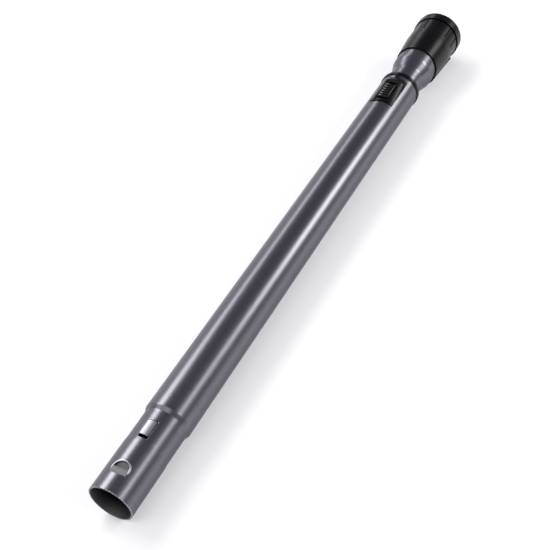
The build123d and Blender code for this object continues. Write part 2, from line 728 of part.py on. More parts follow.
def make_inner_tube():
    """Inner tube with a pressed channel, detents in its floor and a flared end."""
    with BuildPart() as tube:
        with BuildSketch(Plane.XY):
            with BuildLine():
                Polyline(
                    (INNER_BORE_R, INNER_START),
                    (INNER_R, INNER_START),
                    (INNER_R, NECK_END),
                    (FLARE_R, FLARE_END),
                    (FLARE_R, INNER_END),
                    (FLARE_BORE_R, INNER_END),
                    (FLARE_BORE_R, FLARE_END),
                    (INNER_BORE_R, NECK_END),
                    close=True,
                )
            face = make_face()
            neck = [v for v in face.vertices() if abs(v.Y - NECK_END) < 1]
            fillet(neck, FLARE_NECK_ROUND)
            cup = [v for v in face.vertices() if abs(v.Y - FLARE_END) < 1]
            fillet(cup, FLARE_CUP_ROUND)
        revolve(axis=Axis.Y)
    skin_bar = round_bar(INNER_R - WALL / 2, CHANNEL_START - 2 * WALL, CHANNEL_END + 2 * WALL)
    skin_half = CHANNEL_HALF_WIDTH + WALL
    skin_low = CHANNEL_FLOOR_Z - WALL
    skin = block(skin_half, CHANNEL_START - WALL, CHANNEL_END + WALL, skin_low, INNER_R) & skin_bar
    channel = block(
        CHANNEL_HALF_WIDTH, CHANNEL_START, CHANNEL_END, CHANNEL_FLOOR_Z, INNER_R + BEYOND
    )
    first = PAWL_Y - TOOTH_ARM - DETENT_PITCH / 2
    count = int((first - CHANNEL_START - DETENT_R) // DETENT_PITCH) + 1
    places = [first - i * DETENT_PITCH for i in range(count)]
    centre_z = CHANNEL_FLOOR_Z - DETENT_DEPTH + DETENT_R
    bump_r = DETENT_R + WALL
    bumps = [
        cross_pin(bump_r, CHANNEL_HALF_WIDTH + WALL / 2, y, centre_z)
        & block(skin_half, y - bump_r, y + bump_r, 0, CHANNEL_FLOOR_Z)
        for y in places
    ]
    detents = [cross_pin(DETENT_R, CHANNEL_HALF_WIDTH - WALL / 2, y, centre_z) for y in places]
    bush_peg_y = BUSH_END - SEAL_LENGTH / 2
    bush_holes = peg_pair(PEG_R + FITTED_GAP, bush_peg_y, INNER_BORE_R - BEYOND, INNER_R + BEYOND)
    liner_peg_y = (SLEEVE_START + INNER_END) / 2
    liner_holes = peg_pair(PEG_R + FITTED_GAP, liner_peg_y, FLARE_BORE_R - BEYOND, FLARE_R + BEYOND)
    with BuildPart() as finished:
        add(tube.part)
        add(skin)
        for bump in bumps:
            add(bump)
        add(channel, mode=Mode.SUBTRACT)
        for detent in detents:
            add(detent, mode=Mode.SUBTRACT)
        add(bush_holes, mode=Mode.SUBTRACT)
        add(liner_holes, mode=Mode.SUBTRACT)
    return finished.part


def make_tube_bush():
    """Bush on the inner tube's hidden end: it guides, and stops the tube from pulling out."""
    outer = OUTER_BORE_R - RUNNING_GAP
    seat = INNER_R + FITTED_GAP / 2
    groove = BUSH_START + SEAL_OFFSET
    sleeve = turned(
        [
            (BUSH_START, INNER_BORE_R),
            (BUSH_START, outer),
            (groove, outer),
            (groove, SEAL_GROOVE_R),
            (groove + SEAL_LENGTH, SEAL_GROOVE_R),
            (groove + SEAL_LENGTH, outer),
            (BUSH_END, outer),
            (BUSH_END, seat),
            (INNER_START, seat),
            (INNER_START, INNER_BORE_R),
        ]
    )
    pegs = peg_pair(PEG_R, BUSH_END - SEAL_LENGTH / 2, INNER_BORE_R + WALL / 4, seat + WALL / 2)
    with BuildPart() as bush:
        add(sleeve)
        add(pegs)
    return bush.part


def make_seal_ring():
    """Felt seal in the bush's groove."""
    start = BUSH_START + SEAL_OFFSET + FITTED_GAP
    end = start + SEAL_LENGTH - 2 * FITTED_GAP
    return ring_bar(OUTER_BORE_R - RUNNING_GAP, SEAL_GROOVE_R + FITTED_GAP, start, end)


def make_coupling_liner():
    """Moulded socket pressed into the flared tube and pegged to it."""
    land_start = SOCKET_MOUTH - SOCKET_LAND
    steel_fit = FLARE_BORE_R - FITTED_GAP
    body = turned(
        [
            (LINER_START, AIRWAY_R),
            (LINER_START, steel_fit),
            (INNER_END, steel_fit),
            (INNER_END, FLANGE_R),
            (INNER_END + FLANGE_LENGTH, FLANGE_R),
            (INNER_END + FLANGE_LENGTH, LINER_R),
            (LINER_END, LINER_R),
            (LINER_END, SOCKET_R),
            (land_start, SOCKET_R),
            (land_start - SOCKET_RELIEF, RELIEVED_R),
            (SOCKET_STOP, RELIEVED_R),
            (SOCKET_STOP, AIRWAY_R),
        ]
    )
    peg_y = (SLEEVE_START + INNER_END) / 2
    pegs = peg_pair(PEG_R, peg_y, FLARE_BORE_R - WALL, FLARE_R - WALL / 4)
    window = block(
        LATCH_HALF_WIDTH + MOVING_GAP,
        LATCH_TAIL_Y - MOVING_GAP,
        LATCH_TIP_Y + MOVING_GAP,
        0,
        LINER_R + BEYOND,
    )
    pin_half = LATCH_HALF_WIDTH + MOVING_GAP + LATCH_PIN_SEAT
    pin_hole = cross_pin(PIN_R, pin_half, LATCH_Y, LATCH_Z)
    with BuildPart() as liner:
        add(body)
        add(pegs)
        add(window, mode=Mode.SUBTRACT)
        add(pin_hole, mode=Mode.SUBTRACT)
    return liner.part


def make_socket_seal():
    """Rubber washer on the socket's stop."""
    outer = RELIEVED_R - FITTED_GAP
    return ring_bar(outer, AIRWAY_R + MOVING_GAP, SOCKET_STOP, SOCKET_STOP + SOCKET_SEAL)


def make_end_ring():
    """Ring that closes the socket and keeps the release sleeve on."""
    hub_start = END_RING_START - HUB_LENGTH
    hub_bore = LINER_R + FITTED_GAP
    leaf_slit = block(
        LEAF_HALF_WIDTH + FITTED_GAP,
        hub_start - BEYOND,
        END_RING_START + BEYOND,
        LINER_R,
        LINER_R + LEAF_THICKNESS + 2 * FITTED_GAP,
    )
    with BuildPart() as ring:
        with BuildSketch(Plane.XY):
            with BuildLine():
                Polyline(
                    (hub_bore, hub_start),
                    (HUB_R, hub_start),
                    (HUB_R, END_RING_START),
                    (END_RING_R, END_RING_START),
                    (END_RING_R, SOCKET_MOUTH),
                    (SOCKET_R + MOUTH_CHAMFER, SOCKET_MOUTH),
                    (SOCKET_R, SOCKET_MOUTH - MOUTH_CHAMFER),
                    (SOCKET_R, LINER_END),
                    (hub_bore, LINER_END),
                    close=True,
                )
            face = make_face()
            rims = face.vertices().group_by(Axis.X)[-1].sort_by(Axis.Y)
            fillet(rims[-1], END_RING_ROUND)
        revolve(axis=Axis.Y)
        add(leaf_slit, mode=Mode.SUBTRACT)
    return ring.part


def make_latch_spring():
    """Leaf that presses the latch's tooth into the socket."""
    low = LINER_R + FITTED_GAP
    start = LATCH_Y + LATCH_REACH
    end = END_RING_START + BEYOND / 2
    return block(LEAF_HALF_WIDTH, start, end, low, low + LEAF_THICKNESS)


def make_latch():
    """Two-armed latch: a tooth for a spigot's pocket and a cam under the sleeve's rib."""
    cam = cam_points(LATCH_Y, RIB_Z, LATCH_REACH, SLEEVE_TRAVEL, LATCH_SWING, -1)
    tooth_start = LATCH_TOOTH_Y - LATCH_TOOTH_WIDTH / 2
    tail_low = LATCH_BOTTOM_Z + LATCH_SWING * (LATCH_Y - LATCH_TAIL_Y)
    outline = [
        (LATCH_TAIL_Y, tail_low),
        (LATCH_Y - LATCH_REACH, LATCH_BOTTOM_Z),
        (tooth_start, LATCH_BOTTOM_Z),
        (tooth_start, LATCH_TOOTH_Z),
        (LATCH_TOOTH_Y, LATCH_TOOTH_Z),
        (LATCH_TIP_Y, LATCH_BOTTOM_Z),
        (LATCH_TIP_Y, LATCH_TOP_Z - LATCH_NOSE_DROP),
        (LATCH_Y + LATCH_REACH, LATCH_TOP_Z),
        (LATCH_Y - LATCH_REACH + CAM_RUN_IN, LATCH_TOP_Z),
        *cam,
    ]
    hole = cross_pin(PIN_R + PIN_GAP, LATCH_HALF_WIDTH + BEYOND, LATCH_Y, LATCH_Z)
    return without(side_profile(outline, LATCH_HALF_WIDTH), hole)


def saddle_section(y, radius):
    """One cross-section of the saddle: two arcs down to a flat, and back up to the axis."""
    half = math.radians(SADDLE_HALF_ANGLE)
    side_x = radius * math.sin(half)
    side_z = -radius * math.cos(half)
    flat_z = -math.sqrt(radius**2 - SADDLE_FOOT**2) - SADDLE_FLAT / 2
    mid_angle = (half + math.atan2(SADDLE_FOOT, radius)) / 2
    mid_x = radius * math.sin(mid_angle)
    mid_z = -radius * math.cos(mid_angle) - SADDLE_FLAT / 4
    with BuildSketch(section_plane(y)) as section:
        with BuildLine():
            ThreePointArc((side_x, side_z), (mid_x, mid_z), (SADDLE_FOOT, flat_z))
            Line((SADDLE_FOOT, flat_z), (-SADDLE_FOOT, flat_z))
            ThreePointArc((-SADDLE_FOOT, flat_z), (-mid_x, mid_z), (-side_x, side_z))
            Polyline((-side_x, side_z), (0, 0), (side_x, side_z))
        make_face()
    return section.sketch


def make_saddle():
    """Raised underside of the sleeve: flush at its near end, and the wand's foot at its far end."""
    near = saddle_section(SLEEVE_START, SADDLE_NEAR_R)
    far = saddle_section(SADDLE_END, SADDLE_FAR_R)
    drop = math.tan(math.radians(REST_SLOPE)) * SADDLE_LENGTH
    table = side_profile(
        [
            (SLEEVE_START - BEYOND, -SADDLE_DROP + drop),
            (SADDLE_END + BEYOND, -SADDLE_DROP),
            (SADDLE_END + BEYOND, -SADDLE_DROP - SLEEVE_R),
            (SLEEVE_START - BEYOND, -SADDLE_DROP - SLEEVE_R),
        ],
        SLEEVE_R,
    )
    with BuildPart() as saddle:
        add(near)
        add(far)
        loft(ruled=True)
        add(table, mode=Mode.SUBTRACT)
    return saddle.part


def make_release_sleeve():
    """Moulded sleeve: it swells to a grooved grip, over a saddle that is the wand's foot."""
    swell_end = SLEEVE_START + SLEEVE_SWELL
    bulge_r = (SLEEVE_NEAR_R + SLEEVE_R) / 2 + SWELL_BULGE * (SLEEVE_R - SLEEVE_NEAR_R)
    bulge_y = (SLEEVE_START + swell_end) / 2
    with BuildPart() as body:
        with BuildSketch(Plane.XY):
            with BuildLine():
                Line((0, SLEEVE_START), (SLEEVE_NEAR_R, SLEEVE_START))
                ThreePointArc(
                    (SLEEVE_NEAR_R, SLEEVE_START), (bulge_r, bulge_y), (SLEEVE_R, swell_end)
                )
                Polyline((SLEEVE_R, swell_end), (SLEEVE_R, SLEEVE_END), (0, SLEEVE_END))
                Line((0, SLEEVE_END), (0, SLEEVE_START))
            make_face()
        revolve(axis=Axis.Y)
        far_rim = body.edges().filter_by(GeomType.CIRCLE).sort_by(Axis.Y)[-1]
        fillet(far_rim, SLEEVE_ROUND)
    saddle = make_saddle()
    lip_bore = round_bar(FLARE_R + MOVING_GAP, SLEEVE_START - BEYOND, SLEEVE_END + BEYOND)
    spring_bore = round_bar(SLEEVE_BORE_R, INNER_END - MOVING_GAP, SHOULDER_START)
    latch_bore = round_bar(SLEEVE_BORE_R, SHOULDER_START + SHOULDER_LENGTH, SLEEVE_END + BEYOND)
    rib_start = LATCH_Y - LATCH_REACH
    rib_end = rib_start + LATCH_RIB_LENGTH
    rib_bar = round_bar(SLEEVE_BORE_R + WALL / 2, SLEEVE_START, SLEEVE_END)
    rib = block(LATCH_HALF_WIDTH, rib_start, rib_end, RIB_Z, SLEEVE_R) & rib_bar
    with BuildPart() as sleeve:
        add(body.part)
        add(saddle)
        add(lip_bore, mode=Mode.SUBTRACT)
        add(spring_bore, mode=Mode.SUBTRACT)
        add(latch_bore, mode=Mode.SUBTRACT)
        add(rib)
        for i in range(GRIP_COUNT):
            angle = (i + 0.5) * 360 / GRIP_COUNT
            plane = Plane.XZ.offset(-SLEEVE_END).rotated((0, angle, 0))
            with BuildSketch(plane):
                with Locations((0, SLEEVE_R)):
                    SlotOverall(4 * GRIP_DEPTH, GRIP_WIDTH, rotation=90)
            extrude(amount=GRIP_LENGTH, mode=Mode.SUBTRACT)
    return sleeve.part


def make_sleeve_spring():
    """Coil that pushes the release sleeve back against the end ring."""
    end_room = SPRING_WIRE_R + FITTED_GAP
    start = INNER_END + FLANGE_LENGTH + end_room
    length = SPRING_SPACE - 2 * end_room
    coil_r = (LINER_R + SLEEVE_BORE_R) / 2
    count = int(SPRING_TURNS * SPRING_FACETS)
    with BuildPart() as spring:
        for i in range(count + 1):
            angle = 2 * math.pi * i / SPRING_FACETS
            outward = (math.sin(angle), 0, math.cos(angle))
            centre = (coil_r * outward[0], start + length * i / count, coil_r * outward[2])
            along = (coil_r * outward[2], length / SPRING_TURNS / (2 * math.pi), -coil_r * outward[0])
            with BuildSketch(Plane(origin=centre, x_dir=outward, z_dir=along)):
                RegularPolygon(SPRING_WIRE_R, WIRE_SIDES)
        loft(ruled=True)
    return spring.part


save(make_outer_tube(), "outer_tube")
save(make_catch_ring(), "catch_ring")
save(make_guide_ring(), "guide_ring")
save(make_wiper_ring(), "wiper_ring")
save(make_slider_housing(), "slider_housing")
save(make_lock_carrier(), "lock_carrier")
save(make_lock_pawl(), "lock_pawl")
save(cross_pin(PIN_R - PRESSED_GAP, CHEEK_OUTSIDE - FITTED_GAP, PAWL_Y, PAWL_Z), "pawl_pin")
save(make_pawl_spring(), "pawl_spring")
save(make_slide_button(), "slide_button")
save(make_inner_tube(), "inner_tube")
save(make_tube_bush(), "tube_bush")
save(make_seal_ring(), "seal_ring")
save(make_coupling_liner(), "coupling_liner")
save(make_socket_seal(), "socket_seal")
save(make_end_ring(), "end_ring")
save(make_latch(), "latch")
latch_pin_half = LATCH_HALF_WIDTH + MOVING_GAP + LATCH_PIN_SEAT - FITTED_GAP
save(cross_pin(PIN_R - PRESSED_GAP, latch_pin_half, LATCH_Y, LATCH_Z), "latch_pin")
save(make_latch_spring(), "latch_spring")
save(make_release_sleeve(), "release_sleeve")
save(make_sleeve_spring(), "sleeve_spring")
print("rest slope in degrees:", round(REST_SLOPE, 3))
print("length in mm:", round(SOCKET_MOUTH, 2))
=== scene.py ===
# %% [markdown]
# A telescopic suction wand, pushed together and lying on a pale table. Two steel tubes slide in each other.
# The near end is a plain spigot with a pressed pocket, and the far end is a black moulded socket.
# The solids come packed in one shared frame, in metres: the origin is the centre of the spigot's mouth,
# +Y runs along the wand, and +Z is the side with the thumb button. This lesson gives them their looks.

# %% Load the solids
import json
import math

import bpy
from mathutils import Matrix, Vector


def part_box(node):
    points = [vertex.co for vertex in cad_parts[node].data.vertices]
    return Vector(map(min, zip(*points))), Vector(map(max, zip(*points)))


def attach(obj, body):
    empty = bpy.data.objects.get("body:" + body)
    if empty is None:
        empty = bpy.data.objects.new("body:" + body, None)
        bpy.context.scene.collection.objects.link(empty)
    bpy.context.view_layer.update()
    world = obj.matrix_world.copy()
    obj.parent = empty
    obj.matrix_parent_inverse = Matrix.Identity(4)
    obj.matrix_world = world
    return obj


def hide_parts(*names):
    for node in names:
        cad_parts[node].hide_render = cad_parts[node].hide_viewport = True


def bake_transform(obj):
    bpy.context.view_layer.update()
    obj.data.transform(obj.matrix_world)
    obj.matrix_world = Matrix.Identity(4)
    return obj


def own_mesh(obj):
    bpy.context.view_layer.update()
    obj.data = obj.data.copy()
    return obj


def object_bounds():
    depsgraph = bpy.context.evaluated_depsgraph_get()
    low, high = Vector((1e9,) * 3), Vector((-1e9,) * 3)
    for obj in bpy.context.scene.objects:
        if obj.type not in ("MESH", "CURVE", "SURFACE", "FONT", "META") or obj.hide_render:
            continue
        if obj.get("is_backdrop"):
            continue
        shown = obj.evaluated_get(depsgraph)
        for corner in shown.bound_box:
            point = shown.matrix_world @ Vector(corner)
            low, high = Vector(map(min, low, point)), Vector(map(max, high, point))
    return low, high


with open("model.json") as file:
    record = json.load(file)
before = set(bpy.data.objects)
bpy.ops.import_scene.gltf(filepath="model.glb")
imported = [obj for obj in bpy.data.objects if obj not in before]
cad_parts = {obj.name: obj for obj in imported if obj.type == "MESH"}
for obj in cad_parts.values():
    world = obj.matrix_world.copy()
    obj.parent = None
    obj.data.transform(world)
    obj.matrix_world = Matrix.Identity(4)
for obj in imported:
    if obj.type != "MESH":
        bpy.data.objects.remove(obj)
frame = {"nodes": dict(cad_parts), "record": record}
solid_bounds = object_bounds()
nodes = frame["nodes"]
MM = 0.001
print("solids:", len(nodes), "box in mm:", [[round(v / MM, 1) for v in corner] for corner in solid_bounds])

# %% [markdown]
# The camera comes first, because everything else is judged through it. It could be moved by hand until the
# wand looks right, but a long tube tells the camera exactly. Both edges of a straight tube meet far away in
# one point, and how fast they meet gives the lens. So the picture's two edges were enough to find the lens,
# the wand's direction and the place of its mouth as the camera sees them. Camera space here has x to the
# right, y down and z away from the camera. The wand's own axes, written in camera space, are the rows of a
# turn, and the camera's place in the wand's frame follows from it.

# %% Camera
LENS = 65.76
SENSOR_WIDTH = 36
MOUTH_SEEN = Vector((-0.1108, 0.1538, 0.6759))
ALONG_SEEN = Vector((0.4583, -0.6595, 0.5959)).normalized()
BUTTON_ROLL = math.radians(-6)

level = Vector((0, -ALONG_SEEN.z, ALONG_SEEN.y)).normalized()
if level.y > 0:
    level.negate()
across = ALONG_SEEN.cross(level)
up_seen = level * math.cos(BUTTON_ROLL) + across * math.sin(BUTTON_ROLL)
right_seen = ALONG_SEEN.cross(up_seen)
seen = Matrix((right_seen, ALONG_SEEN, up_seen))
camera_place = -(seen @ MOUTH_SEEN)
turn = Matrix((seen.col[0], -seen.col[1], -seen.col[2])).transposed()

camera_data = bpy.data.cameras.new("camera")
camera_data.lens = LENS
camera_data.sensor_width = SENSOR_WIDTH
camera = bpy.data.objects.new("camera", camera_data)
camera.matrix_world = Matrix.Translation(camera_place) @ turn.to_4x4()
bpy.context.scene.collection.objects.link(camera)
bpy.context.scene.camera = camera
bpy.context.scene.view_settings.view_transform = "Standard"
print("camera in mm:", [round(v / MM, 1) for v in camera_place])

# %% [markdown]
# A wand that lies down touches the table in two places: where the outer tube's wide part begins, and under
# the far end of the release sleeve's saddle. The table is the plane from the first place that just touches
# the sleeve: the steepest line to any of its points. So it leans a little against the wand's axis. Leaning
# the table, and not the wand, keeps every piece where the solids have it.

# %% Table
FRONT_TOUCH_Y = 75 * MM
TABLE_HALF = 6.0
tube_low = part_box("outer_tube")[0]
sleeve_points = [vertex.co for vertex in nodes["release_sleeve"].data.vertices]
table_slope = math.atan(max((tube_low.z - point.z) / (point.y - FRONT_TOUCH_Y) for point in sleeve_points))
print("table slope in degrees:", round(math.degrees(table_slope), 3))


def make_table():
    """A large plane under the wand, leaned to the two places that touch it."""
    mesh = bpy.data.meshes.new("table")
    corners = [(-TABLE_HALF, -TABLE_HALF, 0), (TABLE_HALF, -TABLE_HALF, 0)]
    corners += [(TABLE_HALF, TABLE_HALF, 0), (-TABLE_HALF, TABLE_HALF, 0)]
    mesh.from_pydata(corners, [], [(0, 1, 2, 3)])
    table = bpy.data.objects.new("table", mesh)
    table.location = (0, FRONT_TOUCH_Y, tube_low.z)
    table.rotation_euler = (-table_slope, 0, 0)
    bpy.context.scene.collection.objects.link(table)
    table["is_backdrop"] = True
    return table


table = make_table()

# %% [markdown]
# Every finish below is a node tree. Nodes could be placed one by one, but then each material would be a
# page long. So a few helpers do what all of them need: an empty material, a node with its inputs set by
# name, a calculation, and a mix of two colours.

# %% Helpers for materials
MIX_SHARE, MIX_FIRST, MIX_SECOND, MIX_RESULT = 0, 6, 7, 2  # the mix node's sockets for colours


def new_material(name):
    """An empty node material: the material, its tree and its output node."""
    material = bpy.data.materials.new(name)
    material.use_nodes = True
    material.node_tree.nodes.clear()
    output = material.node_tree.nodes.new("ShaderNodeOutputMaterial")
    return material, material.node_tree, output


def add_node(tree, kind, **inputs):
    """Adds a node and sets its inputs by name."""
    node = tree.nodes.new(kind)
    for name, value in inputs.items():
        node.inputs[name.replace("_", " ")].default_value = value
    return node


def feed(tree, socket, value):
    """Links a socket to another one, or sets it to a number or colour."""
    if isinstance(value, (int, float, tuple)):
        socket.default_value = value
    else:
        tree.links.new(value, socket)


def add_math(tree, operation, *values):
    """Adds a calculation with up to three values, each a socket or a number, and returns its result."""
    node = tree.nodes.new("ShaderNodeMath")
    node.operation = operation
    for socket, value in zip(node.inputs, values):
        feed(tree, socket, value)
    return node.outputs[0]


def add_mix(tree, share, first, second):
    """Mixes two colours, each a socket or four numbers, by a share from 0 to 1, and returns the result."""
    node = tree.nodes.new("ShaderNodeMix")
    node.data_type = "RGBA"
    feed(tree, node.inputs[MIX_SHARE], share)
    feed(tree, node.inputs[MIX_FIRST], first)
    feed(tree, node.inputs[MIX_SECOND], second)
    return node.outputs[MIX_RESULT]


# %% [markdown]
# The picture's ground is white, yet the wand's shadow shows on it. A plain white material would need so
# much light that the steel would burn out. So the table is a pale diffuse surface that takes the shadow,
# plus a weak glow that only the camera and mirror-like rays see. Together they come to white where no
# shadow falls, and the steel mirrors the same white table.

# %% Table material
TABLE_GREY = (0.8, 0.8, 0.8, 1)
TABLE_GLOW = 0.28


def table_material():
    """Pale surface that takes the shadow, with a glow for camera and mirror rays."""
    material, tree, output = new_material("table")
    matt = add_node(tree, "ShaderNodeBsdfDiffuse", Color=TABLE_GREY)
    glow = add_node(tree, "ShaderNodeEmission", Color=(1, 1, 1, 1), Strength=TABLE_GLOW)
    both = tree.nodes.new("ShaderNodeAddShader")
    ray = tree.nodes.new("ShaderNodeLightPath")
    direct = add_math(tree, "MAXIMUM", ray.outputs["Is Camera Ray"], ray.outputs["Is Glossy Ray"])
    seen_by = add_math(tree, "MAXIMUM", direct, ray.outputs["Is Transmission Ray"])
    pick = tree.nodes.new("ShaderNodeMixShader")
    tree.links.new(matt.outputs[0], both.inputs[0])
    tree.links.new(glow.outputs[0], both.inputs[1])
    tree.links.new(seen_by, pick.inputs["Fac"])
    tree.links.new(matt.outputs[0], pick.inputs[1])
    tree.links.new(both.outputs[0], pick.inputs[2])
    tree.links.new(pick.outputs[0], output.inputs["Surface"])
    return material


table.data.materials.append(table_material())
print("table material:", table.data.materials[0].name, "glow", TABLE_GLOW)

# %% [markdown]
# A round tube shows its lights as long streaks. On a tube, a lamp at one angle round the axis makes a
# streak half way between that angle and the camera's. So each streak of the picture tells where its lamp
# stood: one long soft box up on the left, and one up on the right. Along the wand the left streak fades and
# the right one grows, so each is a row of strips of different strength. A last soft box stands before the
# mouth, where no streak can show it. It lights the table and casts the shadow to the right. Two short ones
# close to the mouth only show in bends that face it. The room itself is a dim violet grey.

# %% Lamps
WORLD_TINT = (0.208, 0.208, 0.25, 1)
LAMPS = {  # angle in degrees, distance, middle, length and width in metres, radiance
    "left_near": (-44, 1.0, 0.43, 0.50, 0.44, 6.2),
    "left_far": (-50, 1.0, 1.35, 1.34, 0.30, 3.4),
    "left_low": (-78, 1.0, 0.95, 1.90, 0.36, 0.7),
    "right_near": (53, 1.0, 0.43, 0.86, 0.27, 3.2),
    "right_far": (54, 1.0, 1.24, 0.64, 0.32, 9.0),
    "right_end": (55, 1.0, 1.80, 0.46, 0.30, 3.6),
    "left_spark": (-44, 1.0, 0.10, 0.14, 0.30, 12.0),
    "right_spark": (53, 1.0, 0.10, 0.14, 0.24, 10.0),
    "front": (-15, 1.1, -0.75, 1.10, 1.10, 2.0),
}


def soft_box(name, angle, distance, middle, length, width, radiance):
    """A soft box at an angle round the wand's axis from +Z towards +X, facing the axis beside it."""
    data = bpy.data.lights.new(name, "AREA")
    data.shape = "RECTANGLE"
    data.size = width
    data.size_y = length
    data.energy = math.pi * width * length * radiance
    turn_round = math.radians(angle)
    lamp = bpy.data.objects.new(name, data)
    lamp.location = (distance * math.sin(turn_round), middle, distance * math.cos(turn_round))
    lamp.rotation_euler = (0, turn_round, 0)
    bpy.context.scene.collection.objects.link(lamp)


world = bpy.data.worlds.new("studio")
bpy.context.scene.world = world
world.use_nodes = True
world.node_tree.nodes["Background"].inputs["Color"].default_value = WORLD_TINT
for name, values in LAMPS.items():
    soft_box(name, *values)
print("lamps:", list(LAMPS))

# %% [markdown]
# Some effects belong to more than one finish. They could be copied into each material, but then a change
# would have to be made many times. A node group is built once, has named sockets, and is placed in each
# material with its own values. Two helpers make an empty group and place one.

# %% Helpers for shared effects
def new_group(name, inputs, outputs):
    """An empty group with named value sockets: the group, its input node and its output node."""
    group = bpy.data.node_groups.new(name, "ShaderNodeTree")
    for title, value in inputs.items():
        socket = group.interface.new_socket(title, in_out="INPUT", socket_type="NodeSocketFloat")
        socket.default_value = value
    for title in outputs:
        group.interface.new_socket(title, in_out="OUTPUT", socket_type="NodeSocketFloat")
    print("group", name, "sockets:", [item.name for item in group.interface.items_tree])
    return group, group.nodes.new("NodeGroupInput"), group.nodes.new("NodeGroupOutput")


def place_group(tree, group, **inputs):
    """Places a group in a material and sets its inputs by name."""
    node = tree.nodes.new("ShaderNodeGroup")
    node.node_tree = group
    for name, value in inputs.items():
        node.inputs[name.replace("_", " ")].default_value = value
    return node


def object_place(tree):
    """The three numbers of a point's place in the wand's frame at rest."""
    place = tree.nodes.new("ShaderNodeTexCoord")
    parts = tree.nodes.new("ShaderNodeSeparateXYZ")
    tree.links.new(place.outputs["Object"], parts.inputs[0])
    return parts.outputs["X"], parts.outputs["Y"], parts.outputs["Z"]


# %% [markdown]
# Lacquer, moulded plastic and rolled steel are never quite even. Lacquer pools in faint waves along a tube
# and fingers leave soft smudges. Both are one shared effect: noise over the piece, stretched along the
# wand by its own amount, that comes out as a value round zero.

# %% Shared effect: unevenness
def unevenness_group():
    """Group: noise of a size and a stretch along the wand, as a value round zero."""
    inputs = {"Size": 200.0, "Along": 1.0, "Detail": 2.0, "Amount": 0.1}
    group, start, end = new_group("unevenness", inputs, ["Value"])
    place = group.nodes.new("ShaderNodeTexCoord")
    stretch = add_node(group, "ShaderNodeCombineXYZ", X=1, Z=1)
    scaled = group.nodes.new("ShaderNodeVectorMath")
    scaled.operation = "MULTIPLY"
    noise = group.nodes.new("ShaderNodeTexNoise")
    group.links.new(start.outputs["Along"], stretch.inputs["Y"])
    group.links.new(place.outputs["Object"], scaled.inputs[0])
    group.links.new(stretch.outputs[0], scaled.inputs[1])
    group.links.new(scaled.outputs[0], noise.inputs["Vector"])
    group.links.new(start.outputs["Size"], noise.inputs["Scale"])
    group.links.new(start.outputs["Detail"], noise.inputs["Detail"])
    centred = add_math(group, "SUBTRACT", noise.outputs["Fac"], 0.5)
    value = add_math(group, "MULTIPLY", centred, start.outputs["Amount"])
    group.links.new(value, end.inputs["Value"])
    return group


UNEVENNESS = unevenness_group()


def uneven(tree, size, along, amount):
    """Places the unevenness in a material and returns its value."""
    return place_group(tree, UNEVENNESS, Size=size, Along=along, Amount=amount).outputs["Value"]


# %% [markdown]
# The lacquer is on the outside only. Inside, the tubes are dull drawn steel, which shows in the mouth. The
# faces could be sorted by hand, but the distance from the wand's axis tells inside from outside by itself.
# It works on both tubes, because both lie on the axis and keep to it when they slide. The pocket dips
# inward, yet its floor is lacquered too, and duller the deeper it lies. So a small box round the pocket is
# left out of the mask, and a second value grows there with the depth and also darkens the floor as painted
# shade.
# A third value grows from the mouth inward: painted shade that darkens the inner wall further in.

# %% Shared effect: inside of a tube
# Painted shade: the pocket's floor darkens over this depth, and the inner wall over this reach from the
# mouth.
POCKET_SHADE_DEPTH = 2.0833 * MM
SHADE_REACH = 13 * MM
SHADE_CURVE = 0.6


def inside_group():
    """Group: a mask that is 1 inside the tube, the pocket's depth that paints shade, and painted shade
    behind the mouth.
    """
    inputs = {"Mouth Radius": 16.8 * MM, "Tube Radius": 18.4 * MM, "Step": 73.5 * MM}
    inputs |= {"Pocket Low": 13.6 * MM, "Pocket Top": 17.4 * MM, "Pocket Half": 6.1 * MM}
    inputs |= {"Pocket Start": 13.8 * MM, "Pocket End": 24.6 * MM}
    group, start, end = new_group("inside_of_tube", inputs, ["Mask", "Pocket", "Deep Shade"])
    x, y, z = object_place(group)
    squares = add_math(group, "ADD", add_math(group, "MULTIPLY", x, x), add_math(group, "MULTIPLY", z, z))
    radius = add_math(group, "SQRT", squares)
    in_mouth = add_math(group, "LESS_THAN", radius, start.outputs["Mouth Radius"])
    in_tube = add_math(group, "LESS_THAN", radius, start.outputs["Tube Radius"])
    past_step = add_math(group, "GREATER_THAN", y, start.outputs["Step"])
    tube_part = add_math(group, "MULTIPLY", in_tube, past_step)
    near_axis = add_math(group, "MAXIMUM", in_mouth, tube_part)

    above = add_math(group, "GREATER_THAN", z, start.outputs["Pocket Low"])
    after = add_math(group, "GREATER_THAN", y, start.outputs["Pocket Start"])
    before = add_math(group, "LESS_THAN", y, start.outputs["Pocket End"])
    within = add_math(group, "LESS_THAN", add_math(group, "ABSOLUTE", x), start.outputs["Pocket Half"])
    between = add_math(group, "MULTIPLY", after, before)
    in_pocket = add_math(group, "MULTIPLY", above, add_math(group, "MULTIPLY", within, between))
    depth = add_math(group, "SUBTRACT", start.outputs["Pocket Top"], z)
    shade = add_math(group, "MINIMUM", add_math(group, "DIVIDE", depth, POCKET_SHADE_DEPTH), 1)

    elsewhere = add_math(group, "MULTIPLY", near_axis, add_math(group, "SUBTRACT", 1, in_pocket))
    # Painted shade: grows from the mouth inward and darkens the inner wall further in.
    from_mouth = add_math(group, "MAXIMUM", add_math(group, "DIVIDE", y, SHADE_REACH), 0)
    deep_shade = add_math(group, "POWER", add_math(group, "MINIMUM", from_mouth, 1), SHADE_CURVE)
    group.links.new(elsewhere, end.inputs["Mask"])
    group.links.new(add_math(group, "MULTIPLY", shade, in_pocket), end.inputs["Pocket"])
    group.links.new(deep_shade, end.inputs["Deep Shade"])
    return group


INSIDE = inside_group()
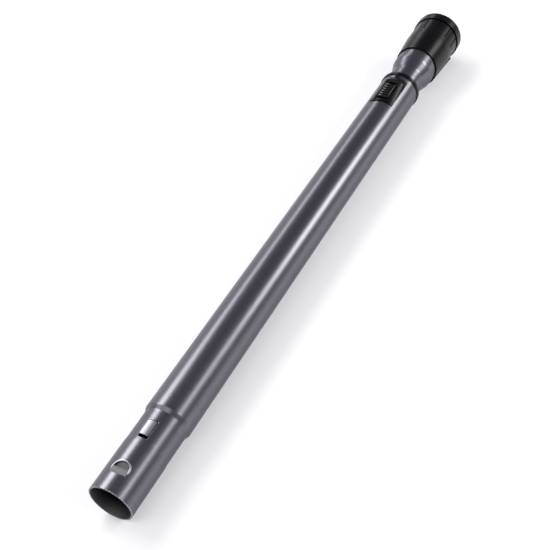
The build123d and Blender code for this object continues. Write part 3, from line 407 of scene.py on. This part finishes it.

# %% [markdown]
# The tubes have a satin metallic lacquer with a violet cast. Paint could be a plain coloured surface, but
# the flakes in this one act like dark metal. So the shader is nearly full metal with a low colour, and a
# thin clear coat on top gives the strongest streak its white core. The roughness wanders a little along the
# tube. Where the surface is inside, the material turns into dull steel without a coat: more roughness, and
# darker further in, as painted shade. The pocket's floor is less of a metal, and is painted darker as
# shade.

# %% Lacquered steel
LACQUER = (0.125, 0.122, 0.141, 1)
EDGE_TINT = (0.42, 0.42, 0.48, 1)
DRAWN_STEEL = (0.42, 0.42, 0.43, 1)
# Painted shade: the inner wall turns to this near black further in from the mouth.
DEEP_PAINTED_SHADE = (0.004, 0.004, 0.004, 1)
# Painted shade: the pocket's floor turns to this colour with its depth.
POCKET_PAINTED_SHADE = (0.055, 0.055, 0.057, 1)
COAT = {"weight": 0.4, "roughness": 0.24, "ior": 2.0}
LACQUER_METAL = 0.97
POCKET_LOSES_METAL = 0.5
LACQUER_ROUGH = 0.325
INSIDE_ROUGHER = 0.2
LONG_WAVES = (260, 0.06, 0.05)
SMUDGES = (70, 0.5, 0.05)


def lacquer_material(name, spigot_inside, tube_inside):
    """Satin lacquer outside, and drawn steel inside the given radii of the spigot and the tube."""
    material, tree, output = new_material(name)
    shader = tree.nodes.new("ShaderNodeBsdfPrincipled")
    shader.inputs["Coat Roughness"].default_value = COAT["roughness"]
    shader.inputs["Coat IOR"].default_value = COAT["ior"]
    shader.inputs["Specular Tint"].default_value = EDGE_TINT
    inside = place_group(tree, INSIDE, Mouth_Radius=spigot_inside, Tube_Radius=tube_inside)
    mask, pocket = inside.outputs["Mask"], inside.outputs["Pocket"]
    # Painted shade: the drawn steel turns nearly black further in, and the pocket's floor darker with its
    # depth.
    wall = add_mix(tree, inside.outputs["Deep Shade"], DRAWN_STEEL, DEEP_PAINTED_SHADE)
    colour = add_mix(tree, mask, LACQUER, wall)
    tree.links.new(add_mix(tree, pocket, colour, POCKET_PAINTED_SHADE), shader.inputs["Base Color"])
    coat = add_math(tree, "MULTIPLY_ADD", mask, -COAT["weight"], COAT["weight"])
    tree.links.new(coat, shader.inputs["Coat Weight"])
    metal = add_math(tree, "MULTIPLY_ADD", pocket, -POCKET_LOSES_METAL, LACQUER_METAL)
    tree.links.new(metal, shader.inputs["Metallic"])
    waves = add_math(tree, "ADD", uneven(tree, *LONG_WAVES), uneven(tree, *SMUDGES))
    outside_rough = add_math(tree, "ADD", waves, LACQUER_ROUGH)
    dull_part = add_math(tree, "ADD", mask, pocket)
    rough = add_math(tree, "MULTIPLY_ADD", dull_part, INSIDE_ROUGHER, outside_rough)
    tree.links.new(rough, shader.inputs["Roughness"])
    tree.links.new(shader.outputs[0], output.inputs["Surface"])
    return material


OUTER_SPIGOT_INSIDE = 16.9 * MM
OUTER_TUBE_INSIDE = 18.4 * MM
INNER_TUBE_INSIDE = 16.2 * MM
finish = {}
finish["outer_lacquer"] = lacquer_material("outer_lacquer", OUTER_SPIGOT_INSIDE, OUTER_TUBE_INSIDE)
finish["inner_lacquer"] = lacquer_material("inner_lacquer", INNER_TUBE_INSIDE, INNER_TUBE_INSIDE)
print("lacquers:", sorted(finish))

# %% [markdown]
# The other finishes are simpler: bright spring steel, satin black plastic, the glossier plastic of the
# button, matt rubber, felt, and a lighter steel that is a painted highlight on small ridges. They differ
# only in numbers, so one function and a row for each make them all. A row holds a colour, a share of metal,
# a specular level, a roughness, the size of its unevenness and a share of grain. Grain is a fine noise that
# tips the surface through a bump node. The sprung band has one number more: below the crown of its pad it
# is painted dark, as painted shade on the pad's sides in the window.

# %% Other finishes
PAD_CROWN_R = 18.08 * MM
FINISHES = {
    "bright_steel": ((0.58, 0.58, 0.6), 1.0, 0.5, 0.30, 900, 0.0),
    "pad_steel": ((0.28, 0.28, 0.295), 1.0, 0.5, 0.36, 900, 0.0, PAD_CROWN_R),
    # A lighter steel as a painted highlight, on the pocket's ridge and the strap's dot.
    "worn_steel": ((0.42, 0.42, 0.45), 1.0, 0.5, 0.32, 900, 0.0),
    "black_plastic": ((0.002, 0.002, 0.0021), 0.0, 0.18, 0.30, 300, 0.1),
    "button_plastic": ((0.002, 0.002, 0.002), 0.0, 0.25, 0.18, 300, 0.0),
    "black_rubber": ((0.02, 0.02, 0.02), 0.0, 0.3, 0.70, 400, 0.3),
    "felt": ((0.12, 0.12, 0.12), 0.0, 0.2, 0.95, 900, 1.0),
}
SMUDGE_AMOUNT = 0.12
GRAIN_SIZE = 2600
GRAIN_DEPTH = 0.05 * MM
# Painted shade on the pad's sides below its crown, where the window's gaps fall dark.
PAD_PAINTED_SHADE = (0.012, 0.012, 0.012, 1)
NO_POCKET = 1.0


def plain_finish(name, colour, metal, specular, rough, size, grain, shade_under=0):
    """A finish with an uneven roughness; grain adds a fine bump, and under a radius it can be painted dark
    as shade.
    """
    material, tree, output = new_material(name)
    shader = add_node(tree, "ShaderNodeBsdfPrincipled", Metallic=metal, Specular_IOR_Level=specular)
    shader.inputs["Base Color"].default_value = (*colour, 1)
    # Painted shade: below the given radius the colour turns dark.
    if shade_under:
        radii = {"Mouth_Radius": shade_under, "Tube_Radius": shade_under}
        inside = place_group(tree, INSIDE, Pocket_Low=NO_POCKET, **radii)
        pad_side_shade = add_mix(tree, inside.outputs["Mask"], (*colour, 1), PAD_PAINTED_SHADE)
        tree.links.new(pad_side_shade, shader.inputs["Base Color"])
    uneven_rough = add_math(tree, "ADD", uneven(tree, size, 1, SMUDGE_AMOUNT), rough)
    tree.links.new(uneven_rough, shader.inputs["Roughness"])
    if grain:
        bump = add_node(tree, "ShaderNodeBump", Strength=grain, Distance=GRAIN_DEPTH)
        tree.links.new(uneven(tree, GRAIN_SIZE, 1, 1.0), bump.inputs["Height"])
        tree.links.new(bump.outputs["Normal"], shader.inputs["Normal"])
    tree.links.new(shader.outputs[0], output.inputs["Surface"])
    return material


for name, values in FINISHES.items():
    finish[name] = plain_finish(name, *values)
print("finishes:", sorted(finish))

# %% [markdown]
# The ribs of the button get painted glints on the left, where a lighter colour stands in for highlights.
# That is a third shared effect: a value that grows from a place on the wand's X towards one side. The ribs
# take their painted highlight from it, and so does the button's edge, with the side turned round.

# %% Shared effect: painted glint
def painted_glint_group():
    """Group: grows from 0 to 1 over a reach in metres, from a start along X; the sign gives the side."""
    group, start, end = new_group("glint_fade", {"Side": -1.0, "Start": 0.0, "Reach": 4 * MM}, ["Wear"])
    x = object_place(group)[0]
    signed = add_math(group, "MULTIPLY", x, start.outputs["Side"])
    past = add_math(group, "SUBTRACT", signed, start.outputs["Start"])
    share = add_math(group, "DIVIDE", past, start.outputs["Reach"])
    limited = add_math(group, "MAXIMUM", add_math(group, "MINIMUM", share, 1), 0)
    group.links.new(add_math(group, "POWER", limited, 2), end.inputs["Wear"])
    return group


PAINTED_GLINT = painted_glint_group()
RIB_DARK = (0.003, 0.003, 0.003, 1)
RIB_ROUGH = 0.22


def glint_plastic(name, glint_grey, **glint_place):
    """Button plastic painted a lighter grey towards one side: a painted glint."""
    material, tree, output = new_material(name)
    shader = add_node(tree, "ShaderNodeBsdfPrincipled", Roughness=RIB_ROUGH)
    share = place_group(tree, PAINTED_GLINT, **glint_place).outputs["Wear"]
    tree.links.new(add_mix(tree, share, RIB_DARK, (glint_grey, glint_grey, glint_grey, 1)), shader.inputs["Base Color"])
    tree.links.new(shader.outputs[0], output.inputs["Surface"])
    return material


# Painted glints: the ribs lighter towards the left, and the button's right edge as a bright line.
finish["rib_plastic"] = glint_plastic("rib_plastic", 0.5, Side=-1, Start=-0.4 * MM, Reach=4.4 * MM)
finish["edge_plastic"] = glint_plastic("edge_plastic", 0.16, Side=1, Start=4.0 * MM, Reach=1.0 * MM)
print("finishes:", len(finish))

# %% [markdown]
# Each solid names its finish in the imported record, so a loop hands them out. Only the two tubes are told
# apart, because their walls lie at different radii, and the sprung band, whose pad is painted dark as shade
# below its crown.

# %% Hand out the finishes
slot_of = {subpart["node"]: subpart["material_slot"] for subpart in frame["record"]["subparts"]}
OWN = {"outer_tube": "outer_lacquer", "inner_tube": "inner_lacquer", "catch_ring": "pad_steel"}
for name, node in nodes.items():
    node.data.materials.clear()
    node.data.materials.append(finish[OWN.get(name, slot_of[name])])
print("finishes handed out:", len(nodes))

# %% [markdown]
# Solids have knife-sharp edges, but pressed and moulded pieces don't, and a rounded edge is what catches
# the light. The edges could be rounded in the solids, but such small rounds would only make them heavy. So
# the pieces that show get a small bevel here, as a modifier that leaves their meshes alone.

# %% Soft edges
EDGE_WIDTH = {  # in millimetres
    "slider_housing": 0.35,
    "slide_button": 0.18,
    "catch_ring": 0.12,
    "release_sleeve": 0.2,
    "end_ring": 0.25,
}
EDGE_SEGMENTS = 2
EDGE_ANGLE = math.radians(38)
for name, width in EDGE_WIDTH.items():
    bevel = nodes[name].modifiers.new("soft_edge", "BEVEL")
    bevel.width = width * MM
    bevel.segments = EDGE_SEGMENTS
    bevel.limit_method = "ANGLE"
    bevel.angle_limit = EDGE_ANGLE
    print(name, len(nodes[name].data.polygons), "faces, edge", width, "mm")

# %% [markdown]
# Some small shapes catch the light but are too fine for the solids: the ridge that a punch pushes up round
# the pocket, the bare cut edges of the steel, and the crowned ribs of the thumb button. A curve with a
# round bevel could make them, but its sides would turn freely. So all are beads: a ring of points carried
# along a path that lies on an arc across the wand, always upright on it. On the tubes that arc is the tube
# itself, and on the button it is a flatter one.

# %% Helpers for pieces made here
BEAD_SIDES = 8
BLUNT_END = 0.15


def finish_piece(name, vertices, faces, body, material, slot):
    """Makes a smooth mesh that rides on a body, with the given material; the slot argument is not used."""
    mesh = bpy.data.meshes.new(name)
    mesh.from_pydata(vertices, [], faces)
    mesh.polygons.foreach_set("use_smooth", [True] * len(mesh.polygons))
    mesh.materials.append(material)
    piece = bpy.data.objects.new(name, mesh)
    bpy.context.scene.collection.objects.link(piece)
    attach(piece, body)
    print(name, len(faces), "faces")


def on_arc(x, y, radius, centre_z=0.0):
    """The point of the arc above x and y, and the arc's outward direction there."""
    outward = Vector((x, 0, math.sqrt(radius**2 - x**2))).normalized()
    return outward * radius + Vector((0, y, centre_z)), outward


def bead(path, radius, thickness, closed=False, taper=1, centre_z=0.0):
    """Vertices and faces of a bead along (x, y) points on an arc; open ends are tapered."""
    count = len(path)
    points = [on_arc(x, y, radius, centre_z) for x, y in path]
    vertices, faces = [], []
    for i, (centre, outward) in enumerate(points):
        before = points[(i - 1) % count if closed else max(i - 1, 0)][0]
        after = points[(i + 1) % count if closed else min(i + 1, count - 1)][0]
        sideways = (after - before).cross(outward).normalized()
        share = 1 if closed else min(1, min(i, count - 1 - i) / taper + BLUNT_END)
        for j in range(BEAD_SIDES):
            angle = 2 * math.pi * j / BEAD_SIDES
            offset = sideways * math.cos(angle) + outward * math.sin(angle)
            vertices.append(centre + offset * thickness * share)
    for i in range(count if closed else count - 1):
        a, b = i * BEAD_SIDES, (i + 1) % count * BEAD_SIDES
        for j in range(BEAD_SIDES):
            k = (j + 1) % BEAD_SIDES
            faces.append((a + j, a + k, b + k, b + j))
    if not closed:
        faces.append(tuple(range(BEAD_SIDES)))
        faces.append(tuple(reversed(range((count - 1) * BEAD_SIDES, count * BEAD_SIDES))))
    return vertices, faces


# %% [markdown]
# The pocket is cut and pressed into the spigot, so that a tool's tooth can drop into it. The punch leaves a
# ridge over its arch and down both sides of its strap, in a lighter steel that is a painted highlight. It
# follows an outline of two straight sides and a half ellipse, sunk so deep that only its crown stands out,
# and it thins out at both ends.

# %% Ridge round the pocket
SPIGOT_R = 17.5 * MM
POCKET = {"near": 14.0, "strap_end": 18.6, "half": 6.6, "arch": 6.3, "side_steps": 8, "arch_steps": 36}
RIDGE = {"sunk": 0.55 * MM, "thickness": 0.9 * MM, "taper": 9}


def pocket_outline():
    """Up the strap's left side, over the arch and down its right side, in metres."""
    near, end, half, arch = POCKET["near"], POCKET["strap_end"], POCKET["half"], POCKET["arch"]
    steps = POCKET["side_steps"]
    left = [(-half, near + (end - near) * i / steps) for i in range(steps)]
    over = []
    for i in range(POCKET["arch_steps"] + 1):
        angle = math.pi * i / POCKET["arch_steps"]
        over.append((-half * math.cos(angle), end + arch * math.sin(angle)))
    right = [(-x, y) for x, y in reversed(left)]
    return [(x * MM, y * MM) for x, y in left + over + right]


ridge = bead(pocket_outline(), SPIGOT_R - RIDGE["sunk"], RIDGE["thickness"], taper=RIDGE["taper"])
finish_piece("pocket_ridge", *ridge, "outer", finish["worn_steel"], "bright_steel")

# %% [markdown]
# The strap across the pocket has a small raised dot, which a die leaves in its middle. It is the shortest
# bead there is: three points, thick in the middle and blunt at both ends.

# %% Dot on the strap
DOT = {"xs": (-0.7, -0.3, 0.1), "y": 16.9 * MM, "r": 16.15 * MM, "thickness": 0.36 * MM}
dot = bead([(x * MM, DOT["y"]) for x in DOT["xs"]], DOT["r"], DOT["thickness"])
# The dot's lighter steel is a painted highlight.
finish_piece("strap_dot", *dot, "outer", finish["worn_steel"], "bright_steel")

# %% [markdown]
# The window for the sprung pad is cut through the wall. Lacquer lies thin on so sharp an edge and wears off
# there first, so the edge shines as a hairline. A closed bead on a rectangle with small round corners gives
# that line all the way round.

# %% Cut edge of the window
REAR_R = 17.25 * MM
WINDOW = {"middle": 53.5, "half_length": 8.0, "half_width": 4.05, "corner": 0.5, "corner_steps": 4}
CUT_EDGE = {"sunk": 0.05 * MM, "thickness": 0.11 * MM}


def window_outline():
    """A rectangle with small round corners, in metres."""
    path = []
    half_x, half_y, corner = WINDOW["half_width"], WINDOW["half_length"], WINDOW["corner"]
    for quarter in range(4):
        middle = math.radians(90 * quarter + 45)
        centre_x = math.copysign(half_x - corner, math.cos(middle))
        centre_y = math.copysign(half_y - corner, math.sin(middle))
        for i in range(WINDOW["corner_steps"] + 1):
            angle = math.radians(90 * (quarter + i / WINDOW["corner_steps"]))
            path.append((centre_x + corner * math.cos(angle), centre_y + corner * math.sin(angle)))
    return [(x * MM, (WINDOW["middle"] + y) * MM) for x, y in path]


cut_edge = bead(window_outline(), REAR_R - CUT_EDGE["sunk"], CUT_EDGE["thickness"], closed=True)
finish_piece("window_edge", *cut_edge, "outer", finish["bright_steel"], "bright_steel")

# %% [markdown]
# The thumb button has six ribs across it. Their crowns are what the light finds, so each gets a rounded
# bead on a flat arc, and all six are joined in one piece. The button rises towards the socket, and each rib
# lies a little higher than the one before.

# %% Crowned ribs of the thumb button
RIBS = {"first": 465.6, "pitch": 3.48, "count": 6, "first_top": 21.19, "rise": 0.03}
RIB = {"half": 4.4, "steps": 8, "thickness": 0.5, "proud": 0.42}
CROWN_R = 20 * MM
rib_vertices, rib_faces = [], []
for i in range(RIBS["count"]):
    along = i * RIBS["pitch"]
    top_z = (RIBS["first_top"] + RIBS["rise"] * along + RIB["proud"] - RIB["thickness"]) * MM
    steps = range(-RIB["steps"], RIB["steps"] + 1)
    path = [(RIB["half"] * k / RIB["steps"] * MM, (RIBS["first"] + along) * MM) for k in steps]
    one_vertices, one_faces = bead(path, CROWN_R, RIB["thickness"] * MM, centre_z=top_z - CROWN_R)
    shift = len(rib_vertices)
    rib_vertices += one_vertices
    rib_faces += [tuple(shift + k for k in face) for face in one_faces]
# The ribs' material paints their left ends lighter, as painted glints.
finish_piece("button_ribs", rib_vertices, rib_faces, "button", finish["rib_plastic"], "button_plastic")

# %% [markdown]
# The right edge of the button gets a painted highlight too, a thin bright line beside the ribs. It is
# one long bead at the same slope as the button's top.

# %% Bright edge of the thumb button, a painted highlight
EDGE = {"x": 5.05 * MM, "first": 465.6, "pitch": 1.75, "count": 11, "middle": 474.3 * MM, "z": 20.98 * MM}
EDGE |= {"thickness": 0.2 * MM, "taper": 2}
edge_path = [(EDGE["x"], (EDGE["first"] + EDGE["pitch"] * i) * MM) for i in range(EDGE["count"])]
edge_centre_z = EDGE["z"] - math.sqrt(CROWN_R**2 - EDGE["x"] ** 2)
edge_bead = bead(edge_path, CROWN_R, EDGE["thickness"], taper=EDGE["taper"], centre_z=edge_centre_z)
for point in edge_bead[0]:
    point.z += RIBS["rise"] * (point.y - EDGE["middle"])
finish_piece("button_edge", *edge_bead, "button", finish["edge_plastic"], "button_plastic")

# %% [markdown]
# Two places are turned: the step where the outer tube is drawn down to the spigot, and the flare in front
# of the sleeve. There the light breaks into bright spots, which need far smoother curves than the packed
# solids carry. The meshes of the solids stay as they are, so each place gets a hair-thin skin, turned from
# a profile of straight lines and round bends.

# %% Helpers for turned pieces
TURN_STEPS = 160
BEND_STEPS = 12


def rounded(points, radii):
    """A profile of (y, r) points in millimetres whose inner corners are replaced by arcs."""
    profile = [points[0]]
    for i in range(1, len(points) - 1):
        before, corner, after = (Vector(points[k]) for k in (i - 1, i, i + 1))
        back = (before - corner).normalized()
        on = (after - corner).normalized()
        half = back.angle(on) / 2
        reach = radii[i - 1] / math.tan(half)
        centre = corner + (back + on).normalized() * radii[i - 1] / math.sin(half)
        first = corner + back * reach - centre
        last = corner + on * reach - centre
        for k in range(BEND_STEPS + 1):
            share = k / BEND_STEPS
            arm = (first * (1 - share) + last * share).normalized() * radii[i - 1]
            profile.append(tuple(centre + arm))
    return profile + [points[-1]]


def turned(profile, closed=False):
    """Vertices and faces of a (y, r) profile in millimetres turned round the wand's axis."""
    rows = len(profile)
    vertices, faces = [], []
    for y, r in profile:
        for j in range(TURN_STEPS):
            angle = 2 * math.pi * j / TURN_STEPS
            vertices.append((r * MM * math.sin(angle), y * MM, r * MM * math.cos(angle)))
    for i in range(rows if closed else rows - 1):
        a, b = i * TURN_STEPS, (i + 1) % rows * TURN_STEPS
        for j in range(TURN_STEPS):
            k = (j + 1) % TURN_STEPS
            faces.append((a + j, a + k, b + k, b + j))
    return vertices, faces


# %% [markdown]
# The die leaves the step with a gentle bend at its foot and a tight one at its shoulder. The flare is
# spread over a mandrel, so both its bends are gentle. Both skins stand off the steel by less than a
# hair's width, and end on its straight parts, where nothing gives them away.

# %% Skins over the step and the flare
SKIN = 0.04
STEP_LINE = [(63.5, 17.25 + SKIN), (70.5, 17.25 + SKIN), (74.3, 18.8 + SKIN), (84.0, 18.8 + SKIN)]
STEP_BENDS = (3.6, 0.9)
FLARE_LINE = [(512.0, 16.6 + SKIN), (525.2, 16.6 + SKIN), (536.8, 20.05 + SKIN), (549.6, 20.0 + SKIN)]
FLARE_BENDS = (8.0, 14.0)
step_skin = turned(rounded(STEP_LINE, STEP_BENDS))
flare_skin = turned(rounded(FLARE_LINE, FLARE_BENDS))
finish_piece("step_skin", *step_skin, "outer", finish["outer_lacquer"], "lacquered_steel")
finish_piece("flare_skin", *flare_skin, "inner", finish["inner_lacquer"], "lacquered_steel")

# %% [markdown]
# The mouth of the spigot is cut and deburred, so it ends in a bare round rim. A small circle turned round
# the axis makes it, like a ring of wire let into the end of the wall.

# %% Bare rim of the mouth
RIM = {"y": 0.3, "r": 17.2, "thickness": 0.28, "sides": 10}
rim_line = []
for i in range(RIM["sides"]):
    angle = 2 * math.pi * i / RIM["sides"]
    forward, outward = RIM["thickness"] * math.cos(angle), RIM["thickness"] * math.sin(angle)
    rim_line.append((RIM["y"] - forward, RIM["r"] + outward))
finish_piece("mouth_rim", *turned(rim_line, closed=True), "outer", finish["bright_steel"], "bright_steel")

# %% [markdown]
# Three springs inside give way when their neighbours move, so they can't stay stiff. The first is the coil
# behind the release sleeve. It is pressed together towards the tube's flange, as far as the sleeve travels.
# Here a copy of its mesh stands for it and rides on the inner tube.

# %% Coil of the sleeve
coil = bpy.data.objects.new("sleeve_coil", nodes["sleeve_spring"].data.copy())
bpy.context.scene.collection.objects.link(coil)
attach(coil, "inner")
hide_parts("sleeve_spring")
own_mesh(coil)

# %% [markdown]
# The other two are leaves on the rocking levers: the pawl of the slider and the latch of the socket. Each
# is held at one end and lies on its lever with the rest. A leaf of one long face couldn't bend, so each is
# a strip of short pieces in the packed leaf's place; here the strip stays straight.

# %% Leaves on the levers
LEAF_STEPS = 24


def bending_leaf(name, node):
    """A strip in short pieces with the box of a packed leaf, in the leaf's place."""
    low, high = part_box(node)
    corners = ((low.x, low.z), (high.x, low.z), (high.x, high.z), (low.x, high.z))
    rows = [low.y + (high.y - low.y) * i / LEAF_STEPS for i in range(LEAF_STEPS + 1)]
    vertices = [(x, y, z) for y in rows for x, z in corners]
    faces = []
    for i in range(LEAF_STEPS):
        for j in range(4):
            k = (j + 1) % 4
            faces.append((4 * i + j, 4 * i + 4 + j, 4 * i + 4 + k, 4 * i + k))
    faces += [(0, 1, 2, 3), tuple(4 * LEAF_STEPS + j for j in (3, 2, 1, 0))]
    mesh = bpy.data.meshes.new(name)
    mesh.from_pydata(vertices, [], faces)
    mesh.materials.append(finish["bright_steel"])
    leaf = bpy.data.objects.new(name, mesh)
    bpy.context.scene.collection.objects.link(leaf)
    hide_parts(node)
    print(name, len(faces), "faces")
    return leaf


pawl_leaf = bending_leaf("pawl_leaf", "pawl_spring")
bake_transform(pawl_leaf)
latch_leaf = bending_leaf("latch_leaf", "latch_spring")
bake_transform(latch_leaf)

# %% [markdown]
# Last come the boxes of the solids and of the finished scene, side by side, so that they can be compared.
# The two have to agree, because nothing made here may stand out of the solids' box.

# %% Print both boxes
boxes = {"solids": [list(c) for c in solid_bounds], "scene": [list(c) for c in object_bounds()]}
for name, box in boxes.items():
    print(name, "box in mm:", [[round(v / MM, 1) for v in corner] for corner in box])
